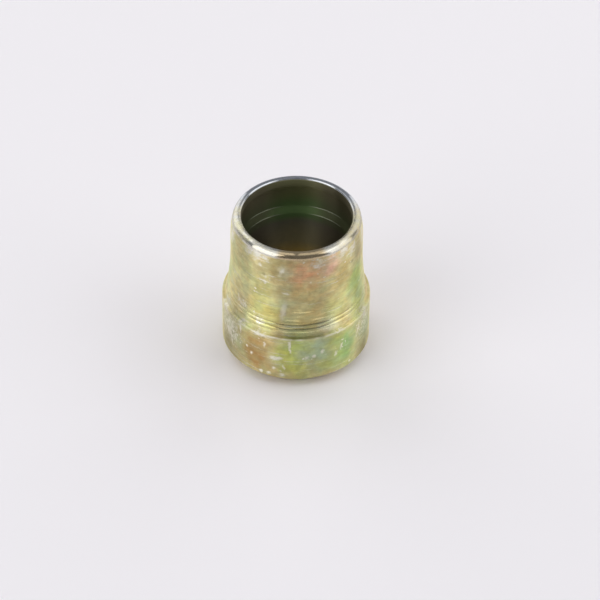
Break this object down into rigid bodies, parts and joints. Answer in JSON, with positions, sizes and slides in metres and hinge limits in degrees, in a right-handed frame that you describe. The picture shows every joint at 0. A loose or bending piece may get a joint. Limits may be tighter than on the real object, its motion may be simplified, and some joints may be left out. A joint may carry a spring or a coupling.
{
  "type": "compression olive",
  "caption": "Turned steel compression olive: a bored ring with a crowned nose, hollow flare and wider base, pressed between nut and fitting to grip and seal a tube.",
  "frame": {"origin": "centre of the rear face, on the bore's axis", "axes": "+Z along the bore towards the narrow nose, X and Y free because the ring is round"},
  "size_m": [0.0136, 0.0136, 0.0149],
  "materials": {
    "yellow_zinc": "turned steel with a worn yellow chromate zinc plate"
  },
  "bodies": {
    "root": {"compression_olive": "yellow_zinc"}
  },
  "joints": []
}
